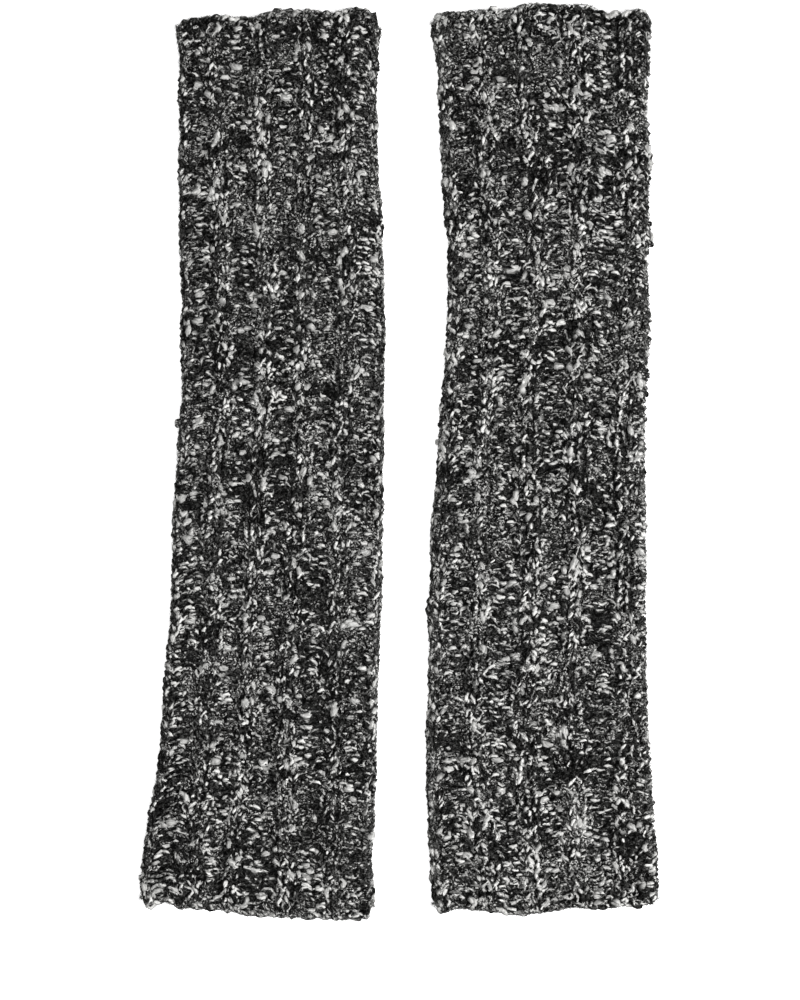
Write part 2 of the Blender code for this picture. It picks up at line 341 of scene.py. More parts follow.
def smooth_table(rows: Sequence[Any], column: str, at: Array) -> Array:
    """Reads one column of a table, eased smoothly between its rows.

    Args:
        rows: Dataclass rows in rising order of their first field.
        column: Name of the field to read.
        at: Places in the first field.

    Returns:
        The column's values at those places.
    """
    first = next(iter(rows[0].__dataclass_fields__))
    xs = np.array([getattr(row, first) for row in rows])
    ys = np.array([getattr(row, column) for row in rows])
    steps = np.diff(xs)
    rises = np.diff(ys) / steps
    before = rises[:-1]
    after = rises[1:]
    same_way = before * after > 0.0
    total = np.where(same_way, before + after, 1.0)
    slopes = np.concatenate(([0.0], np.where(same_way, 2.0 * before * after / total, 0.0), [0.0]))
    clipped = np.clip(at, xs[0], xs[-1])
    row = np.clip(np.searchsorted(xs, clipped, side="right") - 1, 0, len(xs) - 2)
    span = steps[row]
    t = (clipped - xs[row]) / span
    start = ys[row]
    end = ys[row + 1]
    start_slope = slopes[row] * span
    end_slope = slopes[row + 1] * span
    cubic = 2.0 * start - 2.0 * end + start_slope + end_slope
    square = 3.0 * end - 3.0 * start - 2.0 * start_slope - end_slope
    return start + t * (start_slope + t * (square + t * cubic))


def ease(low: float, high: float, at: Array) -> Array:
    """Smooth step from 0 at low to 1 at high.

    Args:
        low: Where the step starts.
        high: Where it ends.
        at: Places to read.

    Returns:
        Values from 0 to 1.
    """
    t = np.clip((at - low) / (high - low), 0.0, 1.0)
    return t * t * (3.0 - 2.0 * t)


def foldedness(normal: Array) -> Array:
    """How near the cloth is to the outermost line of a fold.

    Args:
        normal: Unit normals of the cloth.

    Returns:
        From 0 on level cloth to 1 on that line, with a last axis of one.
    """
    return (1.0 - normal[..., 2:] ** 2) ** 2


def blend(grid: Array, low_y: Array, low_x: Array, next_x: Array, ty: Array, tx: Array) -> Array:
    """Blends a grid between the four corners round each place.

    Args:
        grid: Values at the corners.
        low_y: Row before each place.
        low_x: Column before each place.
        next_x: Column after each place.
        ty: How far each place lies past its row, from 0 to 1.
        tx: The same past its column.

    Returns:
        The blended values.
    """
    bottom = grid[low_y, low_x] * (1.0 - tx) + grid[low_y, next_x] * tx
    top = grid[low_y + 1, low_x] * (1.0 - tx) + grid[low_y + 1, next_x] * tx
    return bottom * (1.0 - ty) + top * ty


@dataclass
class SoftField:
    """Smooth random numbers over a plane, for what no two stitches share.

    The field repeats across its columns, which run round a warmer.
    """

    rows: int
    columns: int
    rng: np.random.Generator
    values: Array = field(init=False)

    def __post_init__(self) -> None:
        """Draws the values at the corners of the field's cells."""
        self.values = self.rng.standard_normal((self.rows + 1, self.columns))

    def read(self, row_share: Array, column_share: Array) -> Array:
        """Reads the field with smooth blends between its corners.

        Args:
            row_share: Places along the rows, from 0 to 1.
            column_share: Places across the columns, of which 1 is once round.

        Returns:
            Numbers that vary about zero.
        """
        y = np.clip(row_share, 0.0, 1.0) * self.rows
        x = np.mod(column_share, 1.0) * self.columns
        low_y = np.minimum(y.astype(int), self.rows - 1)
        low_x = np.minimum(x.astype(int), self.columns - 1)
        ty = ease(0.0, 1.0, y - low_y)
        tx = ease(0.0, 1.0, x - low_x)
        return blend(self.values, low_y, low_x, (low_x + 1) % self.columns, ty, tx)


@dataclass
class TubeForm:
    """Outer surface of one warmer, read by place along it and by wale round it."""

    cut: Cut
    thickness: float = 7.9
    rib_rise: float = 1.5
    valley: float = 0.63
    rib_roundness: float = 1.3
    under_relief: float = 0.45
    mouth_lift: float = 0.4
    mouth_length: float = 16.0
    near_growth: float = 0.4
    far_growth: float = 0.6
    rows: int = 340
    columns: int = 400
    hollow_reach: float = 222.0
    points: Array = field(init=False)
    normals: Array = field(init=False)

    def __post_init__(self) -> None:
        """Lays out the grid of points and normals."""
        station = np.linspace(0.0, 1.0, self.rows + 1)[:, None]
        phase = np.linspace(0.0, RIBS_ROUND, self.columns + 1)[None, :]
        plain, normal, upness = self.stadium(station, phase)
        shift = self.rib_drop(phase, upness) + self.hand_laid(plain, upness)
        self.points = plain - normal * shift[..., None]
        self.points[..., 2] = np.maximum(self.points[..., 2], 0.0)
        along = np.gradient(self.points, axis=0)
        wrapped = np.concatenate(
            (self.points[:, -2:-1], self.points, self.points[:, 1:2]), axis=1
        )
        around = wrapped[:, 2:] - wrapped[:, :-2]
        across = np.cross(around, along)
        across /= np.linalg.norm(across, axis=-1, keepdims=True)
        outward = np.sign(np.sum(across * normal, axis=-1, keepdims=True))
        self.normals = across * np.where(outward == 0.0, 1.0, outward)

    @property
    def fold_radius(self) -> float:
        """Radius of the rounding of a fold."""
        return 0.5 * self.thickness

    def place(self, share: Array, station: Array) -> tuple[Array, Array]:
        """X and Y at a share of the width and a station from 0 to 1 along.

        Args:
            share: Shares of the width from the left fold.
            station: Stations from the near edge to the far one.

        Returns:
            The two coordinates.
        """
        near = smooth_table(self.cut.near_edge, "reach", share) - self.near_growth
        far = smooth_table(self.cut.far_edge, "reach", share) + self.far_growth
        along = near + station * (far - near)
        left = smooth_table(self.cut.outline, "left", along)
        right = smooth_table(self.cut.outline, "right", along)
        return left + share * (right - left), along

    def arc_of_phase(self, phase: Array, along: Array, width: Array) -> Array:
        """Distance round the outside from the left fold's outermost point.

        Args:
            phase: Ribs counted round the warmer from the one on the left fold.
            along: Y at the middle of the width.
            width: Width there.

        Returns:
            Distances round, upper side first.
        """
        half_round = width + (math.pi - 2.0) * self.fold_radius
        names = ("first", "second", "third", "fourth")
        crossing = [smooth_table(self.cut.ribs, name, along) for name in names]
        inside = self.fold_radius * (math.pi / 2.0 - 1.0)
        fold_share = np.minimum(self.cut.fold_rib * width / self.fold_radius, 1.0)
        knots = [self.fold_radius * np.arccos(1.0 - fold_share)]
        knots += [share * width + inside for share in crossing]
        knots.append(self.cut.far_rib * width + (half_round - width))
        full = 2.0 * half_round
        turned = len(knots) - 1
        left_over = RIBS_ROUND - turned
        for step in range(1, left_over + 1):
            rest = full + knots[0] - knots[turned]
            knots.append(knots[turned] + step / left_over * rest)
        stack = np.concatenate(knots, axis=1)
        low = np.clip(np.floor(phase).astype(int), 0, RIBS_ROUND - 1)
        low = np.broadcast_to(low, (along.shape[0], phase.shape[1]))
        start = np.take_along_axis(stack, low, axis=1)
        end = np.take_along_axis(stack, low + 1, axis=1)
        return np.mod(start + (phase - low) * (end - start), full)

    def stadium(self, station: Array, phase: Array) -> tuple[Array, Array, Array]:
        """Points of the flattened tube before its ribs are raised.

        Args:
            station: Column of stations.
            phase: Row of rib phases.

        Returns:
            Points, outward normals, and how far each place faces up, from -1 to 1.
        """
        radius = self.fold_radius
        left, _ = self.place(np.zeros_like(station), station)
        right, _ = self.place(np.ones_like(station), station)
        _, along = self.place(np.full_like(station, 0.5), station)
        width = right - left
        arc = self.arc_of_phase(phase, along, width)
        quarter = radius * math.pi / 2.0
        flat = width - 2.0 * radius
        half_round = flat + 2.0 * quarter
        under = arc > half_round
        run = np.where(under, 2.0 * half_round - arc, arc)
        turn_left = np.clip(run / radius, 0.0, math.pi / 2.0)
        turn_right = np.clip((half_round - run) / radius, 0.0, math.pi / 2.0)
        reach = radius * (1.0 - np.cos(turn_left))
        reach = reach + np.clip(run - quarter, 0.0, flat)
        reach = reach + radius * np.cos(turn_right)
        share = reach / width
        rise = np.minimum(np.sin(turn_left), np.sin(turn_right))
        upness = np.where(under, -rise, rise)
        side = np.cos(turn_right) - np.cos(turn_left)
        x, y = self.place(share, station)
        from_end = np.minimum(station, 1.0 - station) * WARMER_LENGTH
        lift = self.mouth_lift * (1.0 - ease(0.0, self.mouth_length, from_end))
        z = (radius + radius * upness) * (1.0 + lift / self.thickness)
        normal = np.stack((side, np.zeros_like(side), upness), axis=-1)
        normal /= np.linalg.norm(normal, axis=-1, keepdims=True)
        return np.stack((x, y, z), axis=-1), normal, upness

    def rib_drop(self, phase: Array, upness: Array) -> Array:
        """How far the cloth between two ribs lies below their crests.

        Args:
            phase: Rib phases.
            upness: How far each place faces up.

        Returns:
            Depths, none at the outermost points of the folds.
        """
        turn = np.mod(phase, 1.0)
        before = 0.5 * turn / self.valley
        after = 0.5 + 0.5 * (turn - self.valley) / (1.0 - self.valley)
        crest = 0.5 + 0.5 * np.cos(TAU * np.where(turn < self.valley, before, after))
        height = np.sin(0.5 * math.pi * crest) ** self.rib_roundness
        share = np.where(upness >= 0.0, upness, -self.under_relief * upness)
        return self.rib_rise * (1.0 - height) * share

    def hand_laid(self, plain: Array, upness: Array) -> Array:
        """Soft troughs and ridges of cloth that doesn't lie quite even.

        Args:
            plain: Points of the flattened tube.
            upness: How far each place faces up.

        Returns:
            Depths below the even surface.
        """
        depth = np.zeros(plain.shape[:2])
        for hollow in self.cut.hollows:
            station = (hollow.along + self.hollow_reach) / (2.0 * self.hollow_reach)
            middle_x, middle_y = self.place(np.array([hollow.share]), np.array([station]))
            beside = plain[..., 0] - middle_x[0]
            beyond = plain[..., 1] - middle_y[0]
            across = (beside - hollow.lean * beyond) / hollow.width
            lengthwise = beyond / (0.5 * hollow.length)
            shape = hollow.depth * np.exp(-(across**2) - lengthwise**4)
            depth += shape * np.clip(upness * hollow.side.value, 0.0, 1.0)
        return depth

    def look_up(self, station: Array, phase: Array) -> tuple[Array, Array]:
        """Blends the grid at any place.

        Args:
            station: Stations along the warmer.
            phase: Rib phases round it.

        Returns:
            Points and unit normals.
        """
        y = np.clip(station, 0.0, 1.0) * self.rows
        x = np.mod(phase, RIBS_ROUND) / RIBS_ROUND * self.columns
        low_y = np.minimum(y.astype(int), self.rows - 1)
        low_x = np.minimum(x.astype(int), self.columns - 1)
        ty = (y - low_y)[..., None]
        tx = (x - low_x)[..., None]
        point = blend(self.points, low_y, low_x, low_x + 1, ty, tx)
        normal = blend(self.normals, low_y, low_x, low_x + 1, ty, tx)
        overshoot = (station - np.clip(station, 0.0, 1.0)) * WARMER_LENGTH
        point[..., 1] += overshoot
        normal /= np.linalg.norm(normal, axis=-1, keepdims=True)
        return point, normal


# ---------------------------------------------------------------------------------------------
# Shader maths
# ---------------------------------------------------------------------------------------------


class Shade:
    """One value in a material, so that shader maths reads as an expression."""

    def __init__(self, tree: "Tree", socket: Any) -> None:
        """Wraps an output socket of a tree."""
        self.tree = tree
        self.socket = socket

    def math(self, operation: str, *values: Any) -> "Shade":
        """Adds a Math node to this value.

        Args:
            operation: Math node operation.
            *values: The node's inputs in order.

        Returns:
            The node's result.
        """
        return self.tree.node("ShaderNodeMath", {"operation": operation}, values)

    def __add__(self, other: Any) -> "Shade":
        """Sum."""
        return self.math("ADD", self, other)

    __radd__ = __add__

    def __mul__(self, other: Any) -> "Shade":
        """Product."""
        return self.math("MULTIPLY", self, other)

    __rmul__ = __mul__

    def __sub__(self, other: Any) -> "Shade":
        """Difference."""
        return self.math("SUBTRACT", self, other)

    def __rsub__(self, other: Any) -> "Shade":
        """Difference from a number."""
        return self.math("SUBTRACT", other, self)

    def cosine(self) -> "Shade":
        """Cosine of a value in radians."""
        return self.math("COSINE", self)

    def sine(self) -> "Shade":
        """Sine of a value in radians."""
        return self.math("SINE", self)

    def clamp(self) -> "Shade":
        """The value held between 0 and 1."""
        return self.tree.node("ShaderNodeClamp", {}, (self, 0.0, 1.0))

    def step(self, low: Number, high: Number) -> "Shade":
        """Smooth step from 0 at low to 1 at high."""
        settings = {"interpolation_type": "SMOOTHSTEP"}
        return self.tree.node("ShaderNodeMapRange", settings, (self, low, high, 0.0, 1.0))


class Tree:
    """A material's node tree with short ways to add to it."""

    def __init__(self, name: str) -> None:
        """Makes a material with an empty node tree."""
        self.material = bpy.data.materials.new(name)
        self.material.use_nodes = True
        self.nodes = self.material.node_tree.nodes
        self.links = self.material.node_tree.links
        self.nodes.clear()

    def node(
        self,
        kind: str,
        settings: Optional[dict[str, Any]] = None,
        values: Union[Iterable[Any], dict[Any, Any]] = (),
        output: Union[int, str] = 0,
    ) -> Shade:
        """Adds any node.

        Args:
            kind: The node's type.
            settings: Properties that are set before the sockets.
            values: Links or numbers for the inputs, in order or by name or index.
            output: Which output to return.

        Returns:
            That output.
        """
        made = self.nodes.new(kind)
        for name, value in (settings or {}).items():
            setattr(made, name, value)
        pairs = values.items() if isinstance(values, dict) else enumerate(values)
        for key, value in pairs:
            if value is None:
                continue
            if isinstance(value, Shade):
                self.links.new(value.socket, made.inputs[key])
            else:
                made.inputs[key].default_value = value
        return Shade(self, made.outputs[output] if len(made.outputs) else None)

    def mix(self, factor: Any, first: Any, second: Any) -> Shade:
        """Blends two colours.

        Args:
            factor: 0 for the first colour and 1 for the second.
            first: Colour or link.
            second: Colour or link.

        Returns:
            The blended colour.
        """
        return self.node(
            "ShaderNodeMix", {"data_type": "RGBA"}, {0: factor, 6: first, 7: second}, 2
        )

    def vector(self, x: Any, y: Any, z: Any) -> Shade:
        """Joins three values into a vector."""
        return self.node("ShaderNodeCombineXYZ", {}, (x, y, z))

    def split(self, vector: Shade) -> tuple[Shade, Shade, Shade]:
        """Splits a vector into its three values."""
        made = self.node("ShaderNodeSeparateXYZ", {}, (vector,)).socket.node
        return tuple(Shade(self, socket) for socket in made.outputs)

    def marl(self) -> tuple[Shade, Shade, Shade]:
        """The three strengths that add_marl wrote to the mesh."""
        named = {"attribute_name": "marl"}
        return self.split(self.node("ShaderNodeAttribute", named, (), "Vector"))

    def place(self) -> Shade:
        """The piece's own coordinates, in metres."""
        return self.node("ShaderNodeTexCoord", {}, (), "Object")

    def noise(
        self,
        vector: Shade,
        scale: Number,
        detail: Number,
        rough: Number = 0.5,
        curl: Number = 0.0,
    ) -> Shade:
        """Soft noise from 0 to 1.

        Args:
            vector: Where to read it.
            scale: How fine it is.
            detail: Octaves.
            rough: Weight of the finer octaves.
            curl: How far it is swirled.

        Returns:
            The noise's value.
        """
        names = ("Vector", "Scale", "Detail", "Roughness", "Distortion")
        values = dict(zip(names, (vector, scale, detail, rough, curl)))
        return self.node("ShaderNodeTexNoise", {}, values)

    def finish(
        self,
        sockets: dict[str, Any],
        height: Optional[Shade] = None,
        distance: float = 0.0,
        strength: float = 0.0,
    ) -> bpy.types.Material:
        """Adds the bump, the shader and the output.

        Args:
            sockets: Values for the shader.
            height: What raises the surface, if anything does.
            distance: How far a height of 1 rises, in metres.
            strength: Share of the bump that is used.

        Returns:
            The finished material.
        """
        if height is not None:
            bump = {"Strength": strength, "Distance": distance, "Height": height}
            sockets["Normal"] = self.node("ShaderNodeBump", {}, bump)
        shader = self.node("ShaderNodeBsdfPrincipled", {}, sockets)
        self.node("ShaderNodeOutputMaterial", {}, {"Surface": shader})
        return self.material


@dataclass(frozen=True)
class MarlYarn:
    """Charcoal and off-white wool, spun unevenly and plied, with slubs, finely mixed runs, and
    painted shade on the flanks and sunk parts of the yarn.
    """

    name: str = "charcoal_marl_yarn"
    black: tuple[float, float, float, float] = (0.0016, 0.0016, 0.0015, 1.0)
    soot: tuple[float, float, float, float] = (0.062, 0.062, 0.060, 1.0)
    cream: tuple[float, float, float, float] = (0.79, 0.785, 0.765, 1.0)
    smoke: tuple[float, float, float, float] = (0.16, 0.16, 0.155, 1.0)
    roughness: float = 0.9
    sheen: float = 0.02
    bump: float = 0.00035

    def build(self) -> bpy.types.Material:
        """Makes the material.

        The map named yarn holds the distance along the yarn in millimetres and the share round
        it. The attribute named marl holds how much slub, black run and fine mixing there is. Its
        black strength also carries painted shade where the yarn sinks under its neighbours.
        """
        tree = Tree(self.name)
        along, around, _ = tree.split(tree.node("ShaderNodeUVMap", {"uv_map": "yarn"}))
        # The second strength holds black runs of wool and the painted shade of sunk yarn.
        slub, black_with_shade, mixed = tree.marl()
        drift = tree.noise(tree.vector(along * 0.10, 0.0, 0.0), 1.0, 1.0)
        twist = (around + drift * 2.4) * TAU
        beside = twist.cosine()
        above = twist.sine()
        spun = tree.vector(along * 0.25, beside * 0.52, above * 0.52)
        fibres = tree.noise(spun, 2.4, 2.0, 0.6, 0.6)
        clumps = tree.noise(tree.vector(along * 0.36, beside * 0.36, above * 0.36), 1.0, 1.0)
        place = tree.place()
        grains = tree.noise(place, 950.0, 1.0, 0.6)
        # Painted shade and light: face is 1 on the yarn's side away from the cloth and -1 on the
        # side against it. It makes light wool rarer and greyer on the flanks, which darkens each
        # yarn's sides as shade would and lights its crest.
        face = (around * TAU).cosine() * -1.0
        x, y, z = tree.split(place)
        blotch = tree.noise(tree.vector(x * 0.85, y * 1.2, z), 200.0, 1.0)
        wool = (clumps - 0.5) * 2.5 + (fibres - 0.5) * 0.8 + (blotch - 0.5) * 1.6
        # Painted shade: sunk yarn and the flanks of every yarn show less light wool.
        wool = wool - black_with_shade * 0.5 + face * 0.32 + (grains - 0.5) * 0.55
        white = (wool - 0.085).step(0.04, 0.60)
        specks = (grains + (fibres - 0.5) * 0.5).step(0.50, 0.66)
        white = white + mixed * (specks * 0.8 - white)
        pad = slub.step(0.22, 0.60)
        white = white + pad * (0.97 - white)
        # Painted light and shade: the light wool is paler on the crest and greyer on the flanks.
        tone = (fibres - 0.5) * 1.7 + 0.33 + face * 0.36
        tone = tone + pad * ((fibres - 0.5) * 2.0 + 0.38 - tone)
        light = tree.mix(tone.clamp(), self.smoke, self.cream)
        wisps = tree.noise(place, 620.0, 2.0, 0.7, 1.2).step(0.44, 0.74)
        dark = tree.mix(wisps, self.black, self.soot)
        colour = tree.mix(white.clamp(), dark, light)
        height = fibres * 0.8 + grains * 0.3
        return tree.finish(
            {
                "Base Color": colour,
                "Roughness": self.roughness,
                "Specular IOR Level": 0.02,
                "Sheen Weight": self.sheen,
                "Sheen Roughness": 0.4,
                "Sheen Tint": (0.9, 0.9, 0.88, 1.0),
            },
            height,
            self.bump,
            0.9,
        )


@dataclass(frozen=True)
class StrayWool:
    """Single fibres that stand off the yarn, from charcoal to pale grey."""

    name: str = "charcoal_marl_stray_wool"
    dark: tuple[float, float, float, float] = (0.012, 0.012, 0.0115, 1.0)
    pale: tuple[float, float, float, float] = (0.50, 0.50, 0.485, 1.0)

    def build(self) -> bpy.types.Material:
        """Makes the material, in which the first strength of marl says how pale a fibre is."""
        tree = Tree(self.name)
        paleness, _, _ = tree.marl()
        place = tree.place()
        flecks = tree.noise(place, 900.0, 2.0, 0.6)
        colour = tree.mix((paleness + (flecks - 0.5) * 0.8).clamp(), self.dark, self.pale)
        return tree.finish({"Base Color": colour, "Roughness": 0.9, "Specular IOR Level": 0.05})


@dataclass(frozen=True)
class GroundWool:
    """The dark wool that shows between the loops and inside the tube."""

    name: str = "charcoal_marl_ground"
    black: tuple[float, float, float, float] = (0.006, 0.006, 0.006, 1.0)
    grey: tuple[float, float, float, float] = (0.11, 0.11, 0.105, 1.0)
    course_height: float = 0.0029
    wale_width: float = 0.0052

    def build(self) -> bpy.types.Material:
        """Makes the material from the piece's own coordinates."""
        tree = Tree(self.name)
        place = tree.place()
        x, y, _ = tree.split(place)
        blotch = tree.noise(place, 260.0, 3.0, 0.6)
        grains = tree.noise(place, 1300.0, 2.0, 0.6)
        courses = y * (TAU / self.course_height)
        wales = (x * (TAU / self.wale_width)).sine()
        rows = (courses + wales * 0.9).sine()
        wool = (blotch * 0.5 + grains * 0.7).step(0.60, 0.80)
        colour = tree.mix(wool, self.black, self.grey)
        height = rows * 0.35 + grains * 0.4
        return tree.finish(
            {"Base Color": colour, "Roughness": 0.95, "Specular IOR Level": 0.1},
            height,
            0.0006,
            0.8,
        )


@dataclass(frozen=True)
class PaleFloor:
    """Plain white studio floor."""

    name: str = "studio_floor"
    colour: tuple[float, float, float, float] = (0.92, 0.92, 0.92, 1.0)
    glow: float = 0.7

    def build(self) -> bpy.types.Material:
        """Makes the material."""
        tree = Tree(self.name)
        return tree.finish(
            {
                "Base Color": self.colour,
                "Roughness": 0.9,
                "Specular IOR Level": 0.0,
                "Emission Color": (1.0, 1.0, 1.0, 1.0),
                "Emission Strength": self.glow,
            }
        )


# ---------------------------------------------------------------------------------------------
# Yarn
# ---------------------------------------------------------------------------------------------


@dataclass
class YarnLot:
    """How the yarn of one warmer changes along its length: slubs, black runs, mixed runs."""

    length: float
    rng: np.random.Generator
    step: float = 0.5
    slub_spacing: float = 95.0
    slub_sizes: tuple[float, float] = (1.7, 3.3)
    black_spacing: float = 40.0
    black_sizes: tuple[float, float] = (3.0, 9.0)
    mixed_spacing: float = 46.0
    mixed_sizes: tuple[float, float] = (5.0, 16.0)
    weakest: float = 0.55
    tracks: Array = field(init=False)

    def __post_init__(self) -> None:
        """Draws the three kinds of places and adds them up along the yarn."""
        count = int(self.length / self.step) + 2
        self.tracks = np.stack(
            (
                self.track(count, self.slub_spacing, self.slub_sizes, 2.0),
                self.track(count, self.black_spacing, self.black_sizes, 4.0),
                self.track(count, self.mixed_spacing, self.mixed_sizes, 4.0),
            ),
            axis=-1,
        )

    def track(
        self, count: int, spacing: float, sizes: tuple[float, float], power: float
    ) -> Array:
        """Lays one kind of place at random along the yarn.

        Args:
            count: Samples along the yarn.
            spacing: Mean distance between two places.
            sizes: Smallest and largest half length.
            power: How square a place's ends are.

        Returns:
            How strong the kind is at each sample, from 0 to 1.
        """
        values = np.zeros(count)
        places = int(self.length / spacing)
        middles = self.rng.uniform(0.0, self.length, places)
        halves = self.rng.uniform(sizes[0], sizes[1], places)
        strengths = self.rng.uniform(self.weakest, 1.0, places)
        for middle, half, strength in zip(middles, halves, strengths):
            low = max(0, int((middle - 2.0 * half) / self.step))
            high = min(count, int((middle + 2.0 * half) / self.step) + 2)
            away = (np.arange(low, high) * self.step - middle) / half
            shape = strength * np.exp(-np.abs(away) ** power)
            values[low:high] = np.maximum(values[low:high], shape)
        return values

    def read(self, along: Array) -> Array:
        """Reads the three strengths.

        Args:
            along: Distances along the yarn.

        Returns:
            Slub, black and mixed strengths in the last axis.
        """
        at = np.clip(along / self.step, 0.0, len(self.tracks) - 1.001)
        low = at.astype(int)
        t = (at - low)[..., None]
        return self.tracks[low] * (1.0 - t) + self.tracks[low + 1] * t


@dataclass(frozen=True)
class Fineness:
    """How finely the yarn of a strip is made."""

    knit_turns: tuple[float, ...]
    purl_turns: tuple[float, ...]
    sides: int
    fullness: float = 1.0
    # Share of the painted shade of sunk yarn that this strip gets.
    shade_share: float = 1.0


FINE = Fineness(
    knit_turns=(0.0, 0.16, 0.23, 0.31, 0.42, 0.58, 0.69, 0.77, 0.84),
    purl_turns=(0.0, 0.08, 0.17, 0.35, 0.45, 0.55, 0.65, 0.83, 0.92),
    sides=5,
)
MIDDLING = Fineness(
    knit_turns=(0.0, 0.15, 0.25, 0.36, 0.5, 0.64, 0.75, 0.85),
    purl_turns=(0.0, 0.08, 0.18, 0.38, 0.5, 0.62, 0.82, 0.92),
    sides=4,
)
COARSE = Fineness(
    knit_turns=(0.0, 0.20, 0.36, 0.64, 0.80),
    purl_turns=(0.0, 0.15, 0.42, 0.58, 0.85),
    sides=3,
    fullness=1.2,
    shade_share=0.5,
)


def link_object(name: str, data: Any) -> bpy.types.Object:
    """Makes an object and links it to the scene.

    Args:
        name: Name of the object.
        data: Its mesh, light or camera.

    Returns:
        The new object.
    """
    made = bpy.data.objects.new(name, data)
    bpy.context.scene.collection.objects.link(made)
    return made


def add_marl(mesh: bpy.types.Mesh, strengths: Array) -> None:
    """Writes the slub, black and mixed strengths of every point of a mesh, the black one with any
    painted shade of sunk yarn.
    """
    layer = mesh.attributes.new("marl", "FLOAT_VECTOR", "POINT")
    layer.data.foreach_set("vector", strengths.astype(np.float32).ravel())


def write_map(layer: Any, u: Array, v: Array) -> None:
    """Writes the two coordinates of every corner of a mesh to a map."""
    places = np.stack((u.ravel(), v.ravel()), axis=-1)
    layer.uv.foreach_set("vector", places.astype(np.float32).ravel())


@dataclass(frozen=True)
class Atlas:
    """Cells in which the lines of a piece lie side by side, with margins as shares of a cell."""

    columns: int = 4
    start: float = 0.008
    run: float = 0.972
    floor: float = 0.06
    height: float = 0.88
    first_cap: float = 0.002
    last_cap: float = 0.985
    cap_width: float = 0.004
    cap_height: float = 0.3


